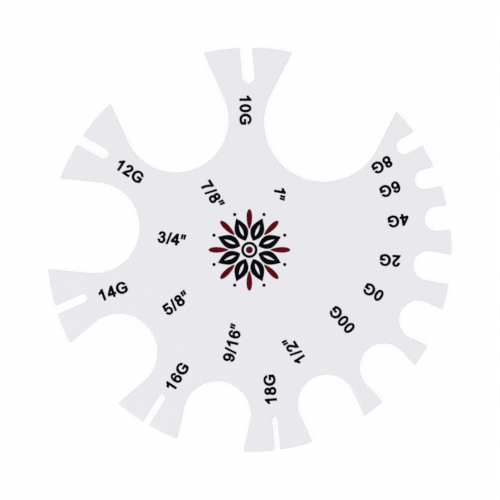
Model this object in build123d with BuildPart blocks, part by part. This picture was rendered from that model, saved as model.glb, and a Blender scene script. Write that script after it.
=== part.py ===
from build123d import *
from collections import namedtuple
import os

# A piercing gauge wheel: one flat disc of stiff plastic sheet, lying printed face up.
# Seventeen notches open through its rim, each as wide as one size of body jewellery.
# The origin is the centre of the rim circle on the underside; +Z is the printed side.

# Driving dimensions, in millimetres
wheel_diameter = 85.0
sheet_thickness = 1.5
edge_break = 0.12
notch_clearance = 0.25

# One notch: a straight slot with parallel sides and a round end.
# size: the jewellery's diameter, in millimetres; the slot is wider by the clearance
# depth: from the rim to the bottom of the round end, in millimetres
# place: where the round end lies, in degrees anticlockwise from +X
# lean: how far the slot's sides turn from the radius at that place, in degrees
Notch = namedtuple("Notch", "size depth place lean")

notches = {
    "18G": Notch(size=1.0, depth=7.0, place=278.5, lean=-3.2),
    "16G": Notch(size=1.3, depth=7.0, place=239.4, lean=-0.7),
    "14G": Notch(size=1.6, depth=6.9, place=196.3, lean=7.2),
    "12G": Notch(size=2.0, depth=6.9, place=146.6, lean=3.5),
    "10G": Notch(size=2.4, depth=7.5, place=90.3, lean=5.1),
    "8G": Notch(size=3.2, depth=5.0, place=33.8, lean=-6.1),
    "6G": Notch(size=4.0, depth=4.9, place=21.9, lean=-8.9),
    "4G": Notch(size=5.0, depth=5.1, place=9.4, lean=-3.0),
    "2G": Notch(size=6.0, depth=7.9, place=354.9, lean=-4.8),
    "0G": Notch(size=8.0, depth=8.1, place=337.4, lean=-1.9),
    "00G": Notch(size=10.0, depth=10.0, place=318.8, lean=-5.6),
    "1/2 inch": Notch(size=12.0, depth=12.4, place=296.7, lean=-2.0),
    "9/16 inch": Notch(size=14.0, depth=14.2, place=258.9, lean=-1.6),
    "5/8 inch": Notch(size=16.0, depth=15.7, place=218.1, lean=2.4),
    "3/4 inch": Notch(size=19.0, depth=19.1, place=171.9, lean=2.5),
    "7/8 inch": Notch(size=22.0, depth=22.2, place=119.5, lean=-5.2),
    "1 inch": Notch(size=25.0, depth=24.0, place=59.8, lean=3.0),
}

rim_radius = wheel_diameter / 2

# The wheel, cut from the sheet in one piece
with BuildPart() as gauge_wheel:
    with BuildSketch():
        Circle(rim_radius)
        for notch in notches.values():
            width = notch.size + notch_clearance
            round_end_radius = rim_radius - notch.depth + width / 2
            with PolarLocations(round_end_radius, 1, start_angle=notch.place):
                Circle(width / 2, mode=Mode.SUBTRACT)
                Rectangle(
                    rim_radius,
                    width,
                    rotation=notch.lean,
                    align=(Align.MIN, Align.CENTER),
                    mode=Mode.SUBTRACT,
                )
    extrude(amount=sheet_thickness)
    chamfer(gauge_wheel.faces().filter_by(Axis.Z).edges(), length=edge_break)

gauge_wheel.part.label = "gauge_wheel"
os.makedirs("parts", exist_ok=True)
export_step(gauge_wheel.part, "parts/gauge_wheel.step")
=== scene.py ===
import bpy
import numpy as np
from mathutils.geometry import delaunay_2d_cdt
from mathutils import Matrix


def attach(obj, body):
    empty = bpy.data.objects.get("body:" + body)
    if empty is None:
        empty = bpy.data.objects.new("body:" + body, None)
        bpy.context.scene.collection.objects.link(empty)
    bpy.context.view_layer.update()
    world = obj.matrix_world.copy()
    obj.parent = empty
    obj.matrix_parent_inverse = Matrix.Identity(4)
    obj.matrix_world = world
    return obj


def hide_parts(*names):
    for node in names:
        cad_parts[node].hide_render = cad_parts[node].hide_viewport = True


# A piercing gauge wheel of satin plastic sheet, lying printed face up.
# Lengths are written in millimetres and angles in degrees; meshes are in metres.
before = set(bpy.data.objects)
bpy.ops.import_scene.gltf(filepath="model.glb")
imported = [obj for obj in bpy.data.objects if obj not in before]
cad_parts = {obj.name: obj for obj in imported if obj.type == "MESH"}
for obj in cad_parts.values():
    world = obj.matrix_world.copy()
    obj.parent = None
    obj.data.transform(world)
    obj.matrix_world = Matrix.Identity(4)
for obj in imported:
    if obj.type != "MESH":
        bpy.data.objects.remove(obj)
bpy.context.view_layer.update()
mm = 0.001
samePoint = 1e-7      # nearer points of an outline are one point
capTolerance = 1e-9   # how exactly the flat caps keep to their outlines
print("frame loaded")

# Outlines are closed rows of complex numbers, x + iy in millimetres, seen from the printed side.
# The material is always on their left, so an outer outline runs anticlockwise and a hole clockwise.


def turned(outline, anticlockwise):
    # the signed area is half the sum of x dy - y dx; its sign tells which way the outline runs
    area = (outline.conj() * np.roll(outline, -1)).imag.sum() / 2
    return outline if (area > 0) == anticlockwise else outline[::-1]


def grown(outline, spread):
    # every side moves outwards by the spread, and a corner goes to where its two sides meet again:
    # z + spread (m + n) / (1 + m.n), where m and n are the outward directions of the two sides
    side = np.roll(outline, -1) - outline
    onward = -1j * side / np.abs(side)
    back = np.roll(onward, 1)
    return outline + spread * (back + onward) / (1 + (back * onward.conj()).real)


def softened(outline, spacing, softness):
    # points at even distances s along the outline, then each averaged with its neighbours
    # by exp(-s^2 / (2 softness^2)), which leaves sides as they are and rounds sharp corners
    outline = outline[np.abs(outline - np.roll(outline, 1)) > samePoint]
    closed = np.append(outline, outline[0])
    reach = np.append(0, np.cumsum(np.abs(np.diff(closed))))
    count = int(reach[-1] / spacing)
    even = np.arange(count) * reach[-1] / count
    even = np.interp(even, reach, closed.real) + 1j * np.interp(even, reach, closed.imag)
    waves = np.fft.fftfreq(count, reach[-1] / count)
    return np.fft.ifft(np.fft.fft(even) * np.exp(-2 * (np.pi * waves * softness) ** 2))


def lattice(outline, spacing):
    # the points of a square net that lie inside the outline, a spacing clear of it:
    # inside, the steps of the angle from a point to the outline add up to a full turn
    steps = np.abs(outline).max() // spacing + 1
    reach = np.arange(-steps, steps + 1) * spacing
    net = (reach[:, None] + 1j * reach).ravel()[:, None]
    angles = np.angle((np.roll(outline, -1) - net) / (outline - net)).sum(1)
    clear = np.abs(outline - net).min(1) > spacing
    return net[(angles > np.pi) & clear, 0]


def solidFromOutlines(name, shapes, profile, material, netSpacing=None):
    # an outline z(s) is carried through the profile: a row is z + inset * i z'/|z'| at its own height,
    # and flat caps close the first and last rows; a shape is an outer outline and its holes
    points, sides, caps, first = [], [], [], 0
    for shape in shapes:
        ends, rings, corner = [], [], 0
        for outline in shape:
            ahead = np.roll(outline, -1) - np.roll(outline, 1)
            carried = outline + profile[:, :1] * (1j * ahead / np.abs(ahead))
            height = np.broadcast_to(profile[:, 1:], carried.shape)
            points.append(np.stack([carried.real, carried.imag, height], -1).reshape(-1, 3))
            ids = first + np.arange(carried.size).reshape(carried.shape)
            onward = np.roll(ids, -1, 1)
            sides.append(np.stack([ids[:-1], onward[:-1], onward[1:], ids[1:]], -1).reshape(-1, 4))
            ends.append(ids[[0, -1]])
            ring = corner + np.arange(len(outline))
            rings.append((ring[::-1] if corner else ring).tolist())   # a hole's ring runs the other way
            corner += len(outline)
            first += carried.size
        flat = np.concatenate(shape)
        if netSpacing:
            net = lattice(shape[0], netSpacing)
            for height in profile[[0, -1], 1]:
                points.append(np.stack([net.real, net.imag, np.full(len(net), height)], -1))
            ends.append(first + np.arange(2 * len(net)).reshape(2, -1))
            first += 2 * len(net)
            flat = np.append(flat, net)
        flat = np.stack([flat.real, flat.imag], -1).tolist()
        _, _, fill, _, _, within = delaunay_2d_cdt(flat, [], rings, 1, capTolerance)
        fill = np.array(fill)[np.fromiter(map(len, within), int) == 1]   # 2 is a triangle in a hole
        bottom, top = np.concatenate(ends, 1)
        caps.append(np.vstack([top[fill], bottom[fill][:, ::-1]]))
    sides, caps = np.vstack(sides), np.vstack(caps)
    mesh = bpy.data.meshes.new(name)
    mesh.from_pydata((np.vstack(points) * mm).tolist(), [], sides.tolist() + caps.tolist())
    mesh.polygons.foreach_set("use_smooth", np.repeat([True, False], [len(sides), len(caps)]))
    mesh.materials.append(material)
    piece = bpy.data.objects.new(name, mesh)
    bpy.context.scene.collection.objects.link(piece)
    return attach(piece, "root")


# Materials

def addNode(tree, kind, inputs=(), **settings):
    # one node; an input is either a value or the output socket that feeds it
    node = tree.nodes.new(kind)
    node.location = (200 * len(tree.nodes), 0)
    for name, value in settings.items():
        setattr(node, name, value)
    for name, value in dict(inputs).items():
        if isinstance(value, bpy.types.NodeSocket):
            tree.links.new(value, node.inputs[name])
        else:
            node.inputs[name].default_value = value
    return node


grainShape = {
    # scale input, octaves of detail
    "noises": {
        "grain": ("Grains per Metre", 3.0),
        "wave": ("Waves per Metre", 1.0),
        "cloud": ("Clouds per Metre", 2.0),
    },
    # noise, its values where the mask is 0 and 1
    "masks": {
        # the hollow mask places painted shade in the grain's low spots
        "HollowShade": ("grain", 0.53, 0.37),
        "Cloud": ("cloud", 0.3, 0.7),
    },
}


def makeGrainGroup():
    # Height is a fine grain plus a slower wave; the hollow mask is 1 in the grain's low spots and 0
    # elsewhere, where it lays painted shade; Cloud is a wide, soft drift between 0 and 1
    group = bpy.data.node_groups.new("surfaceGrain", "ShaderNodeTree")
    group.interface.new_socket(name="Place", in_out="INPUT", socket_type="NodeSocketVector")
    for name in ("Grains per Metre", "Waves per Metre", "Wave Share", "Clouds per Metre"):
        group.interface.new_socket(name=name, in_out="INPUT", socket_type="NodeSocketFloat")
    for name in ("Height", "HollowShade", "Cloud"):
        group.interface.new_socket(name=name, in_out="OUTPUT", socket_type="NodeSocketFloat")
    given = addNode(group, "NodeGroupInput").outputs
    noise = {}
    for name, (scale, detail) in grainShape["noises"].items():
        settings = {"Vector": given["Place"], "Scale": given[scale], "Detail": detail}
        noise[name] = addNode(group, "ShaderNodeTexNoise", settings).outputs["Fac"]
    height = addNode(
        group,
        "ShaderNodeMix",
        {"Factor": given["Wave Share"], "A": noise["grain"], "B": noise["wave"]},
    )
    ends = {"Height": height.outputs["Result"]}
    for name, (source, low, high) in grainShape["masks"].items():
        mask = addNode(
            group,
            "ShaderNodeMapRange",
            {"Value": noise[source], "From Min": low, "From Max": high},
            interpolation_type="SMOOTHSTEP",
        )
        ends[name] = mask.outputs["Result"]
    addNode(group, "NodeGroupOutput", ends)
    return group


def newMaterial(name):
    # an empty material and its node tree
    material = bpy.data.materials.new(name)
    material.use_nodes = True
    material.node_tree.nodes.clear()
    return material, material.node_tree


def layGrain(tree, place, look):
    # the shared grain, with the sizes that a look gives
    return addNode(
        tree,
        "ShaderNodeGroup",
        {
            "Place": place,
            "Grains per Metre": look["grain"],
            "Waves per Metre": look["wave"],
            "Wave Share": look["waveShare"],
            "Clouds per Metre": look["cloud"],
        },
        node_tree=grainGroup,
    ).outputs


def mixColours(tree, factor, first, second):
    # first where the factor is 0 and second where it is 1; each is a colour or a socket
    mix = addNode(tree, "ShaderNodeMix", {"Factor": factor}, data_type="RGBA")
    for name, colour in (("A", first), ("B", second)):
        if isinstance(colour, tuple):
            mix.inputs[name].default_value = (*colour, 1)
        else:
            tree.links.new(colour, mix.inputs[name])
    return mix.outputs["Result"]


grainGroup = makeGrainGroup()

sheetLook = {
    "colour": (0.829, 0.820, 0.861),
    "cloudColour": (0.820, 0.811, 0.854),   # where the sheet is a shade deeper
    "hollowShadeColour": (0.788, 0.780, 0.822),  # painted shade in the low spots of its satin grain
    "edgeShadeColour": (0.770, 0.766, 0.786),    # painted shade on the cut wall and its rolled edges
    "markColour": (0.728, 0.724, 0.745),    # in the cutter's marks
    "roughness": (0.36, 0.46),
    "edgeRoughness": 0.62,
    "ior": 1.49,
    "grain": 6800.0,                        # grains, waves and clouds per metre
    "wave": 380.0,
    "waveShare": 0.35,                      # of the relief; the rest is grain
    "cloud": 55.0,
    "edgeBlend": (0.10, 0.002),             # its look fades out between these depths below a face
    "cutMarks": 2600.0,                     # marks the cutter left on the wall, per metre of edge
    "markDetail": 4.0,
    "markStretch": 0.04,                    # how little they change with height
    "markTone": (0.35, 0.6),                # from markColour to edgeShadeColour
    "markDepth": 2.0,                       # their depth, in grains
    "bumpDepth": 0.012,                     # millimetres
}


def makeSheetMaterial(look, thickness):
    # satin faces that drift between two tones, with painted shade in the grain's low spots, and a
    # duller cut wall, painted a shade darker, with the cutter's marks
    material, tree = newMaterial("satinSheet")
    place = addNode(tree, "ShaderNodeTexCoord").outputs["Object"]
    grain = layGrain(tree, place, look)
    # 1 on the cut wall, 0 on both faces: distance from mid thickness, eased off over the rolled edges;
    #                                     it lays the painted shade, the rougher finish and the cutter's
    #                                     marks there
    up = addNode(tree, "ShaderNodeSeparateXYZ", {"Vector": place}).outputs["Z"]
    middle = thickness * mm / 2
    deep, shallow = look["edgeBlend"]
    fromMiddle = addNode(tree, "ShaderNodeMath", {0: up, 1: middle}, operation="SUBTRACT").outputs[0]
    fromMiddle = addNode(tree, "ShaderNodeMath", {0: fromMiddle}, operation="ABSOLUTE").outputs[0]
    wall = addNode(
        tree,
        "ShaderNodeMapRange",
        {
            "Value": fromMiddle,
            "From Min": middle - deep * mm,
            "From Max": middle - shallow * mm,
            "To Min": 1.0,
            "To Max": 0.0,
        },
        interpolation_type="SMOOTHSTEP",
    ).outputs["Result"]
    # upright cutter marks: a noise that hardly changes with height
    stretched = addNode(
        tree, "ShaderNodeMapping", {"Vector": place, "Scale": (1.0, 1.0, look["markStretch"])}
    ).outputs["Vector"]
    marks = addNode(
        tree,
        "ShaderNodeTexNoise",
        {"Vector": stretched, "Scale": look["cutMarks"], "Detail": look["markDetail"]},
    ).outputs["Fac"]
    face = mixColours(tree, grain["Cloud"], look["colour"], look["cloudColour"])
    # painted shade in the low spots of the grain
    face = mixColours(tree, grain["HollowShade"], face, look["hollowShadeColour"])
    dark, pale = look["markTone"]
    tone = addNode(
        tree, "ShaderNodeMapRange", {"Value": marks, "From Min": dark, "From Max": pale}
    ).outputs["Result"]
    # the cut wall and its rolled edges are painted a shade darker, and the cutter's marks break that up
    edge = mixColours(tree, tone, look["markColour"], look["edgeShadeColour"])
    colour = mixColours(tree, wall, face, edge)
    low, high = look["roughness"]
    rough = addNode(
        tree, "ShaderNodeMapRange", {"Value": grain["Cloud"], "To Min": low, "To Max": high}
    ).outputs["Result"]
    rough = addNode(
        tree, "ShaderNodeMix", {"Factor": wall, "A": rough, "B": look["edgeRoughness"]}
    ).outputs["Result"]
    cut = addNode(tree, "ShaderNodeMath", {0: marks, 1: look["markDepth"]}, operation="MULTIPLY")
    height = addNode(
        tree, "ShaderNodeMix", {"Factor": wall, "A": grain["Height"], "B": cut.outputs[0]}
    ).outputs["Result"]
    bump = addNode(
        tree, "ShaderNodeBump", {"Height": height, "Strength": 1.0, "Distance": look["bumpDepth"] * mm}
    ).outputs["Normal"]
    shader = addNode(
        tree,
        "ShaderNodeBsdfPrincipled",
        {"Base Color": colour, "Roughness": rough, "Normal": bump, "IOR": look["ior"]},
    )
    addNode(tree, "ShaderNodeOutputMaterial", {"Surface": shader.outputs["BSDF"]})
    return material


# The sheet, a finer copy of the cut wheel with its edges rolled over
wheel = {
    "diameter": 85.0,
    "thickness": 1.5,
    "clearance": 0.25,     # a notch is wider than its jewellery by this
    "edgeRound": 0.16,     # radius rolled over every cut edge
    "tipRound": 0.21,      # radius on the points between notches, seen from above; more than edgeRound
    "netSpacing": 2.0,     # between the points inside the flat faces
    # how many points each stretch of the outline has, and rows each rolled edge
    "tipPoints": 7,
    "sidePoints": 5,
    "endPoints": 61,
    "rimPoints": 24,
    "edgeRows": 6,
    # jewellery, depth from the rim, place of the round end, lean of the sides off the radius
    "notches": {
        "4G": (5.0, 5.1, 9.4, -3.0),
        "6G": (4.0, 4.9, 21.9, -8.9),
        "8G": (3.2, 5.0, 33.8, -6.1),
        "1 inch": (25.0, 24.0, 59.8, 3.0),
        "10G": (2.4, 7.5, 90.3, 5.1),
        "7/8 inch": (22.0, 22.2, 119.5, -5.2),
        "12G": (2.0, 6.9, 146.6, 3.5),
        "3/4 inch": (19.0, 19.1, 171.9, 2.5),
        "14G": (1.6, 6.9, 196.3, 7.2),
        "5/8 inch": (16.0, 15.7, 218.1, 2.4),
        "16G": (1.3, 7.0, 239.4, -0.7),
        "9/16 inch": (14.0, 14.2, 258.9, -1.6),
        "18G": (1.0, 7.0, 278.5, -3.2),
        "1/2 inch": (12.0, 12.4, 296.7, -2.0),
        "00G": (10.0, 10.0, 318.8, -5.6),
        "0G": (8.0, 8.1, 337.4, -1.9),
        "2G": (6.0, 7.9, 354.9, -4.8),
    },
}


def wheelOutline(wheel):
    # every notch at once, one row each, from its clockwise tip round to the next notch's:
    # round end = centre + half width * e^(i a), a from -90 to -270 degrees off the slot's direction
    # sides = straight runs from there to the rim circle, rim = radius * e^(i a) between two notches
    # tip = an arc of tipRound that touches the side and the rim's tangent at their corner
    jewel, depth, place, lean = np.array(list(wheel["notches"].values())).T[:, :, None]
    radius = wheel["diameter"] / 2
    half = (jewel + wheel["clearance"]) / 2
    outward = np.exp(1j * np.radians(place + lean))
    centre = (radius - depth + half) * np.exp(1j * np.radians(place))

    def tip(side):
        # the side's foot slides outwards until it is radius away from the wheel's centre
        foot = centre + side * 1j * half * outward
        local = foot * outward.conj()
        corner = (np.sqrt(radius**2 - local.imag**2) + 1j * local.imag) * outward
        back = -outward if side > 0 else -1j * corner / radius
        onward = 1j * corner / radius if side > 0 else -outward
        angle = np.arccos((back * onward.conj()).real)
        inwards = (back + onward) / np.abs(back + onward)
        middle = corner + inwards * wheel["tipRound"] / np.sin(angle / 2)
        start = corner + back * wheel["tipRound"] / np.tan(angle / 2)
        sweep = (np.pi - angle) * np.linspace(0, 1, wheel["tipPoints"])
        return middle + (start - middle) * np.exp(1j * sweep)

    first, last = tip(-1), tip(1)
    end = centre + half * outward * np.exp(-1j * np.radians(np.linspace(90, 270, wheel["endPoints"])))
    run = np.linspace(0, 1, wheel["sidePoints"] + 2)[1:-1]
    inwardSide = first[:, -1:] + (end[:, :1] - first[:, -1:]) * run
    outwardSide = end[:, -1:] + (last[:, :1] - end[:, -1:]) * run
    leave, arrive = last[:, -1:], np.roll(first[:, :1], -1, 0)
    sweep = np.angle(arrive / leave) % (2 * np.pi)
    rim = leave * np.exp(1j * sweep * np.linspace(0, 1, wheel["rimPoints"] + 2)[1:-1])
    return np.concatenate([first, inwardSide, end, outwardSide, last, rim], 1).ravel()


def rolledProfile(wheel):
    # at each face a quarter circle, inset = r (1 - cos a) and rise = r sin a; an upright wall between
    angle = np.radians(np.linspace(0, 90, wheel["edgeRows"]))
    inset = wheel["edgeRound"] * (1 - np.cos(angle))
    height = wheel["thickness"] - wheel["edgeRound"] * (1 - np.sin(angle))
    upper = np.stack([inset, height], -1)
    lower = np.stack([inset, wheel["thickness"] - height], -1)[::-1]
    return np.vstack([lower, upper])


sheet = solidFromOutlines(
    "wheelSheet",
    [[turned(wheelOutline(wheel), True)]],
    rolledProfile(wheel),
    makeSheetMaterial(sheetLook, wheel["thickness"]),
    wheel["netSpacing"],
)
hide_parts("gauge_wheel")
print("sheet cut, notches:", len(wheel["notches"]))

# Ink
ink = {
    "height": 0.03,       # how far the print stands off the sheet
    "sunk": 0.03,         # how far its underside is bedded in the sheet
    "shoulder": 0.025,    # width of its rounded edge
    "shoulderRows": 4,
    "softness": 0.043,    # how far a sharp corner is rounded off
    "spacing": 0.05,
    "black": {
        "colour": (0.0007, 0.0007, 0.0018),
        "cloudColour": (0.0013, 0.0013, 0.0028),
        "thinColour": (0.015, 0.014, 0.018),    # at the foot of its edge
    },
    "red": {
        "colour": (0.101, 0.0014, 0.0062),
        "cloudColour": (0.122, 0.0022, 0.0088),
        "thinColour": (0.19, 0.022, 0.034),
    },
    "thinShare": 0.6,     # of its height, where the thin colour fades into the full one
    "roughness": (0.40, 0.56),
    "specular": 0.02,
    "grain": 9000.0,
    "wave": 1500.0,
    "waveShare": 0.5,
    "cloud": 420.0,
    "bumpDepth": 0.010,
}


def makeInkMaterial(name, look, colours, face):
    # ink that drifts between two tones, on a sheet whose face is at the given height
    material, tree = newMaterial(name)
    place = addNode(tree, "ShaderNodeTexCoord").outputs["Object"]
    grain = layGrain(tree, place, look)
    body = mixColours(tree, grain["Cloud"], colours["colour"], colours["cloudColour"])
    # the film thins out down its rounded edge
    up = addNode(tree, "ShaderNodeSeparateXYZ", {"Vector": place}).outputs["Z"]
    thin = addNode(
        tree,
        "ShaderNodeMapRange",
        {
            "Value": up,
            "From Min": face * mm,
            "From Max": (face + look["thinShare"] * look["height"]) * mm,
            "To Min": 1.0,
            "To Max": 0.0,
        },
        interpolation_type="SMOOTHSTEP",
    ).outputs["Result"]
    colour = mixColours(tree, thin, body, colours["thinColour"])
    low, high = look["roughness"]
    rough = addNode(
        tree, "ShaderNodeMapRange", {"Value": grain["Cloud"], "To Min": low, "To Max": high}
    ).outputs["Result"]
    bump = addNode(
        tree,
        "ShaderNodeBump",
        {"Height": grain["Height"], "Strength": 1.0, "Distance": look["bumpDepth"] * mm},
    ).outputs["Normal"]
    shader = addNode(
        tree,
        "ShaderNodeBsdfPrincipled",
        {
            "Base Color": colour,
            "Roughness": rough,
            "Normal": bump,
            "Specular IOR Level": look["specular"],
        },
    )
    addNode(tree, "ShaderNodeOutputMaterial", {"Surface": shader.outputs["BSDF"]})
    return material


def inkProfile(look, face):
    # straight up out of the sheet, then a quarter ellipse: inset = shoulder (1 - cos a), rise = h sin a
    angle = np.radians(np.linspace(0, 90, look["shoulderRows"]))
    inset = look["shoulder"] * (1 - np.cos(angle))
    rise = face + look["height"] * np.sin(angle)
    return np.vstack([[0, face - look["sunk"]], np.stack([inset, rise], -1)])


blackInk = makeInkMaterial("blackInk", ink, ink["black"], wheel["thickness"])
redInk = makeInkMaterial("redInk", ink, ink["red"], wheel["thickness"])
inkRows = inkProfile(ink, wheel["thickness"])


def inkSolid(name, shapes, material):
    # each outline with its corners softened, then carried up through the ink's rows
    prints = [
        [
            turned(softened(outline, ink["spacing"], ink["softness"]), k == 0)
            for k, outline in enumerate(shape)
        ]
        for shape in shapes
    ]
    return solidFromOutlines(name, prints, inkRows, material)


# Size marks: bold upright figures, each with its advance and its outlines in cap heights.
# An outline passes through an at() point and rounds a bend() point.

def at(x, y):
    return (x, y, 0)


def bend(x, y):
    return (x, y, 1)


glyphs = {
    "0": (0.83, [[
        [bend(0.037, -0.015), bend(0.735, -0.015), bend(0.735, 1.01), bend(0.037, 1.01)],
        [bend(0.235, 0.155), bend(0.235, 0.84), bend(0.542, 0.84), bend(0.542, 0.155)],
    ]]),
    "1": (0.83, [[
        [at(0.36, -0.01), at(0.545, -0.01), at(0.545, 1.01), at(0.39, 1.01), bend(0.31, 0.84),
         at(0.11, 0.775), at(0.11, 0.59), bend(0.26, 0.63), at(0.36, 0.71)],
    ]]),
    "2": (0.83, [[
        [at(0.03, -0.005), at(0.725, -0.005), at(0.725, 0.175), at(0.33, 0.175), bend(0.365, 0.25),
         at(0.49, 0.355), bend(0.705, 0.53), at(0.705, 0.735), bend(0.705, 1.015), at(0.39, 1.015),
         bend(0.08, 1.015), at(0.048, 0.68), at(0.24, 0.66), bend(0.26, 0.855), at(0.385, 0.855),
         bend(0.505, 0.855), at(0.505, 0.725), bend(0.505, 0.62), at(0.355, 0.48), bend(0.05, 0.21)],
    ]]),
    "3": (0.83, [[
        [at(0.04, 0.31), bend(0.07, -0.018), at(0.375, -0.018), bend(0.71, -0.018), at(0.71, 0.285),
         bend(0.71, 0.475), at(0.54, 0.53), bend(0.675, 0.59), at(0.675, 0.75), bend(0.675, 1.015),
         at(0.375, 1.015), bend(0.09, 1.015), at(0.06, 0.715), at(0.235, 0.69), bend(0.255, 0.86),
         at(0.375, 0.86), bend(0.48, 0.86), at(0.48, 0.745), bend(0.48, 0.60), at(0.305, 0.605),
         at(0.285, 0.455), at(0.36, 0.463), bend(0.52, 0.463), at(0.52, 0.305), bend(0.52, 0.14),
         at(0.375, 0.14), bend(0.25, 0.14), at(0.23, 0.325)],
    ]]),
    "4": (0.83, [[
        [at(0.425, -0.01), at(0.61, -0.01), at(0.61, 0.205), at(0.745, 0.205), at(0.745, 0.37),
         at(0.61, 0.37), at(0.61, 1.01), at(0.44, 1.01), at(0.015, 0.375), at(0.015, 0.205),
         at(0.425, 0.205)],
        [at(0.425, 0.38), at(0.225, 0.38), at(0.425, 0.68)],
    ]]),
    "5": (0.83, [[
        [at(0.042, 0.305), bend(0.07, -0.018), at(0.385, -0.018), bend(0.728, -0.018), at(0.728, 0.34),
         bend(0.728, 0.665), at(0.43, 0.665), bend(0.35, 0.665), at(0.275, 0.63), at(0.30, 0.83),
         at(0.69, 0.83), at(0.69, 1.01), at(0.15, 1.01), at(0.065, 0.455), at(0.23, 0.43),
         bend(0.30, 0.53), at(0.385, 0.53), bend(0.545, 0.53), at(0.545, 0.335), bend(0.545, 0.145),
         at(0.385, 0.145), bend(0.265, 0.145), at(0.235, 0.32)],
    ]]),
    "6": (0.83, [[
        [at(0.712, 0.735), bend(0.67, 1.015), at(0.42, 1.015), bend(0.035, 1.015), at(0.035, 0.49),
         bend(0.035, -0.018), at(0.395, -0.018), bend(0.735, -0.018), at(0.735, 0.32),
         bend(0.735, 0.655), at(0.43, 0.655), bend(0.31, 0.655), at(0.235, 0.56), bend(0.25, 0.86),
         at(0.415, 0.86), bend(0.505, 0.86), at(0.532, 0.70)],
        [bend(0.245, 0.15), bend(0.245, 0.50), bend(0.545, 0.50), bend(0.545, 0.15)],
    ]]),
    "7": (0.83, [[
        [at(0.045, 1.01), at(0.045, 0.82), at(0.50, 0.82), bend(0.22, 0.47), at(0.205, -0.01),
         at(0.40, -0.01), bend(0.41, 0.50), at(0.72, 0.86), at(0.72, 1.01)],
    ]]),
    "8": (0.83, [[
        [at(0.39, -0.018), bend(0.735, -0.018), at(0.735, 0.275), bend(0.735, 0.46), at(0.60, 0.54),
         bend(0.69, 0.60), at(0.69, 0.75), bend(0.69, 1.015), at(0.385, 1.015), bend(0.08, 1.015),
         at(0.08, 0.75), bend(0.08, 0.60), at(0.175, 0.54), bend(0.04, 0.46), at(0.04, 0.275),
         bend(0.04, -0.018)],
        [bend(0.275, 0.635), bend(0.275, 0.86), bend(0.505, 0.86), bend(0.505, 0.635)],
        [bend(0.237, 0.145), bend(0.237, 0.45), bend(0.542, 0.45), bend(0.542, 0.145)],
    ]]),
    "G": (1.12, [[
        [at(0.535, 0.545), at(0.535, 0.375), at(0.80, 0.375), at(0.80, 0.255), bend(0.715, 0.155),
         at(0.575, 0.155), bend(0.25, 0.155), at(0.25, 0.51), bend(0.25, 0.855), at(0.565, 0.855),
         bend(0.74, 0.855), at(0.795, 0.685), at(0.985, 0.725), bend(0.905, 1.02), at(0.56, 1.02),
         bend(0.04, 1.02), at(0.04, 0.505), bend(0.04, -0.022), at(0.57, -0.022), bend(0.83, -0.022),
         at(1.0, 0.15), at(1.0, 0.545)],
    ]]),
    "/": (0.45, [[[at(-0.02, -0.03), at(0.14, -0.03), at(0.405, 1.03), at(0.245, 1.03)]]]),
    '"': (0.60, [
        [[at(0.015, 0.605), at(0.145, 0.605), at(0.205, 1.015), at(0.045, 1.015)]],
        [[at(0.245, 0.605), at(0.38, 0.605), at(0.445, 1.015), at(0.28, 1.015)]],
    ]),
}
# the nine is the six turned half round: x becomes acrossNine - x, and y becomes 1 - y
acrossNine = 0.777
advance, (sixShape,) = glyphs["6"]
nineShape = [[(acrossNine - x, 1 - y, kind) for x, y, kind in outline] for outline in sixShape]
glyphs["9"] = (advance, [nineShape])

sizeMarks = {
    "capHeight": 2.37,
    "spread": 0.068,    # how far the ink creeps out past the drawn figures
    "bendPull": 0.58,   # how far a curve's handles reach towards its bend
    "bendPoints": 12,
    "closer": {'1"': 0.12, "/4": 0.06},   # how much nearer a pair stands, in cap heights
    # distance of the mark's middle from the centre, its place, and its lean off the line to the centre
    "marks": {
        "10G": (29.4, 91.6, -1.5),
        "12G": (30.05, 146.7, -0.5),
        '7/8"': (14.0, 123.6, -1.5),
        '3/4"': (16.5, 171.8, -0.5),
        "14G": (29.95, 196.85, 3.5),
        '5/8"': (19.05, 216.0, 1.0),
        "16G": (30.65, 240.3, -3.5),
        '9/16"': (19.9, 259.7, -3.0),
        "18G": (29.65, 278.5, -4.5),
        '1/2"': (23.1, 294.0, 9.0),
        "00G": (24.45, 323.0, -12.0),
        "0G": (27.6, 341.2, -13.0),
        "2G": (29.7, 355.7, 0.0),
        "4G": (31.95, 11.1, -2.0),
        "6G": (32.25, 23.3, -2.5),
        "8G": (33.15, 32.6, -3.5),
        '1"': (13.4, 61.6, 18.0),
    },
}


def traced(points):
    # a bend c between a and b is the curve (1-t)^3 a + 3(1-t)^2 t p + 3(1-t) t^2 q + t^3 b,
    # with p and q bendPull of the way from a and b to c; a and b are its neighbours,
    # or the points half way to them where they are bends too
    x, y, bends = np.array(points).T
    c = grown(x + 1j * y, sizeMarks["spread"] / sizeMarks["capHeight"])
    bends = bends > 0
    a = np.where(np.roll(bends, 1), (np.roll(c, 1) + c) / 2, np.roll(c, 1))[:, None]
    b = np.where(np.roll(bends, -1), (np.roll(c, -1) + c) / 2, np.roll(c, -1))[:, None]
    t, c = np.linspace(0, 1, sizeMarks["bendPoints"]), c[:, None]
    p, q = a + sizeMarks["bendPull"] * (c - a), b + sizeMarks["bendPull"] * (c - b)
    curve = (1 - t) ** 3 * a + 3 * (1 - t) ** 2 * t * p + 3 * (1 - t) * t**2 * q + t**3 * b
    return np.where(bends[:, None], curve, c).ravel()


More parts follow.
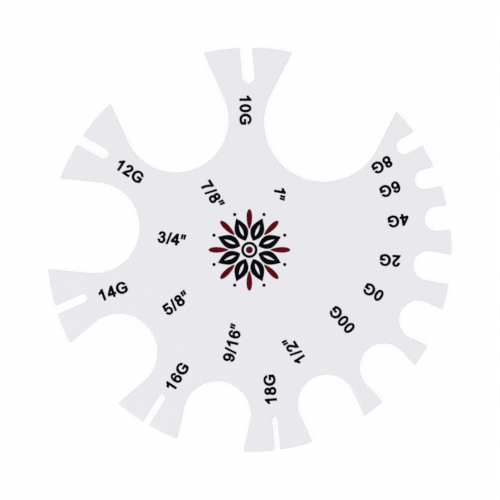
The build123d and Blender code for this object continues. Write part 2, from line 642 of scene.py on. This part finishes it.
def markShapes(text, distance, place, lean):
    # the glyphs side by side, as (z - middle) * cap height * e^(i turn) + distance * e^(i place)
    shapes, cursor = [], 0.0
    for k, letter in enumerate(text):
        advance, drawn = glyphs[letter]
        cursor -= sizeMarks["closer"].get(text[k - 1:k + 1], 0) if k else 0
        shapes += [[traced(outline) + cursor for outline in shape] for shape in drawn]
        cursor += advance
    ends = np.concatenate([shape[0].real for shape in shapes])
    middle = (ends.min() + ends.max()) / 2 + 0.5j
    turn = sizeMarks["capHeight"] * np.exp(1j * np.radians(place + 180 + lean))
    spot = distance * np.exp(1j * np.radians(place))
    return [[(outline - middle) * turn + spot for outline in shape] for shape in shapes]


for text, (distance, place, lean) in sizeMarks["marks"].items():
    name = "sizeMark_" + text.replace("/", "_").replace('"', "_inch")
    inkSolid(name, markShapes(text, distance, place, lean), blackInk)
print("size marks printed:", len(sizeMarks["marks"]))

# The ornament in the middle: an eight-fold rosette of black petals and dark red drops
rosette = {
    "fold": 8,
    "hub": 0.74,                # red disc
    "ring": (1.14, 1.72),       # black ring round it
    "petal": (2.05, 7.20, 1.42),    # from, to, half its width
    "vein": (3.15, 5.75, 0.27),     # the slit in a petal
    "belly": 0.85,              # under 1 a petal is widest nearer its inner end
    "drop": (4.35, 8.60, 0.60),
    "dropTaper": 0.75,          # from 0.5 to 1, a drop's inner end goes from round to pointed
    "dot": (8.05, 0.36),        # distance of its middle, radius
    "points": 81,               # along each side of a petal or drop
    "circlePoints": 96,
}


def leaf(start, end, halfWidth):
    # r(t) = start + (end - start) t on the axis, half width w sin(pi t^belly) to either side of it
    t = np.linspace(0, 1, rosette["points"])
    axis = start + (end - start) * t
    half = halfWidth * np.sin(np.pi * t ** rosette["belly"])
    return np.concatenate([axis - 1j * half, (axis + 1j * half)[::-1]])


def drop(start, end, halfWidth):
    # the same axis with half width w f(t) / max f, where f(t) = t^dropTaper sqrt(1 - t):
    # a narrow inner end and a round outer one
    t = (1 - np.cos(np.linspace(0, np.pi, rosette["points"]))) / 2
    axis = start + (end - start) * t
    swell = t ** rosette["dropTaper"] * np.sqrt(1 - t)
    half = halfWidth * swell / swell.max()
    return np.concatenate([axis - 1j * half, (axis + 1j * half)[::-1]])


def circle(radius, middle=0):
    # middle + radius * e^(i a), a once round
    angle = np.linspace(0, 2 * np.pi, rosette["circlePoints"] + 1)[:-1]
    return middle + radius * np.exp(1j * angle)


step = 2 * np.pi / rosette["fold"]
turns = np.exp(1j * step * (np.arange(rosette["fold"]) + 0.5))
black = [[circle(rosette["ring"][1]), circle(rosette["ring"][0])]]
black += [[leaf(*rosette["petal"]) * turn, leaf(*rosette["vein"]) * turn] for turn in turns]
black += [[circle(rosette["dot"][1], rosette["dot"][0]) * turn] for turn in turns]
red = [[circle(rosette["hub"])]]
red += [[drop(*rosette["drop"]) * turn * np.exp(0.5j * step)] for turn in turns]
inkSolid("rosetteBlack", black, blackInk)
inkSolid("rosetteRed", red, redInk)
print("rosette printed")

# Floor, light and camera
stage = {
    "floorHalf": 6.0,            # metres
    "floorGap": 0.02,            # millimetres under the sheet
    "floorColour": (0.97, 0.97, 0.97),
    "floorWhite": 0.88,          # share of plain white that the camera sees in the floor
    "fill": 0.58,                # world light on the object
    "lamps": {                   # place in metres, size in metres, watts
        "keyLamp": ((-0.75, -0.55, 1.75), 0.9, 12.4),
        "sideLamp": ((0.95, 0.65, 1.45), 0.7, 5.6),
    },
    "cameraHeight": 1.0,         # metres above the printed face
    "sensorWidth": 36.0,         # millimetres
    "frameWidth": 105.2,         # millimetres across the picture, at the printed face
    "cameraPlace": (0.136, -0.029),   # millimetres off the wheel's centre
}


def seenRays(tree):
    # 1 for camera, glossy and transmission rays
    path = addNode(tree, "ShaderNodeLightPath").outputs
    seen = path["Is Camera Ray"]
    for other in ("Is Glossy Ray", "Is Transmission Ray"):
        either = addNode(tree, "ShaderNodeMath", {0: seen, 1: path[other]}, operation="MAXIMUM")
        seen = either.outputs[0]
    return seen


def makeFloorMaterial():
    # matt white that takes shadows, under a share of plain white for the camera and for reflections
    material, tree = newMaterial("paleFloor")
    matt = addNode(tree, "ShaderNodeBsdfDiffuse", {"Color": (*stage["floorColour"], 1)}).outputs["BSDF"]
    white = addNode(tree, "ShaderNodeEmission", {"Color": (1, 1, 1, 1)}).outputs["Emission"]
    share = addNode(
        tree, "ShaderNodeMath", {0: seenRays(tree), 1: stage["floorWhite"]}, operation="MULTIPLY"
    ).outputs[0]
    mixed = addNode(tree, "ShaderNodeMixShader", {0: share, 1: matt, 2: white}).outputs["Shader"]
    addNode(tree, "ShaderNodeOutputMaterial", {"Surface": mixed})
    return material


half = stage["floorHalf"]
floorMesh = bpy.data.meshes.new("floor")
corners = [(-half, -half, 0), (half, -half, 0), (half, half, 0), (-half, half, 0)]
floorMesh.from_pydata(corners, [], [(0, 1, 2, 3)])
floorMesh.materials.append(makeFloorMaterial())
floor = bpy.data.objects.new("floor", floorMesh)
floor.location.z = -stage["floorGap"] * mm
bpy.context.scene.collection.objects.link(floor)

world = bpy.data.worlds.new("studio")
bpy.context.scene.world = world
world.use_nodes = True
world.node_tree.nodes.clear()
strength = addNode(
    world.node_tree,
    "ShaderNodeMapRange",
    {"Value": seenRays(world.node_tree), "To Min": stage["fill"], "To Max": 1.0},
).outputs["Result"]
sky = addNode(world.node_tree, "ShaderNodeBackground", {"Color": (1, 1, 1, 1), "Strength": strength})
addNode(world.node_tree, "ShaderNodeOutputWorld", {"Surface": sky.outputs["Background"]})

for name, (place, size, watts) in stage["lamps"].items():
    light = bpy.data.lights.new(name, "AREA")
    light.shape = "DISK"
    light.size = size
    light.energy = watts
    lamp = bpy.data.objects.new(name, light)
    lamp.location = place
    lamp.rotation_euler = lamp.location.to_track_quat("Z", "Y").to_euler()
    lamp.visible_camera = False
    bpy.context.scene.collection.objects.link(lamp)

camera = bpy.data.cameras.new("camera")
camera.sensor_width = stage["sensorWidth"]
camera.lens = stage["sensorWidth"] * stage["cameraHeight"] / (stage["frameWidth"] * mm)
eye = bpy.data.objects.new("camera", camera)
eye.location = (
    stage["cameraPlace"][0] * mm,
    stage["cameraPlace"][1] * mm,
    stage["cameraHeight"] + wheel["thickness"] * mm,
)
bpy.context.scene.collection.objects.link(eye)
bpy.context.scene.camera = eye
bpy.context.scene.view_settings.view_transform = "Standard"
print("stage, lamps and camera placed")

bpy.context.view_layer.update()
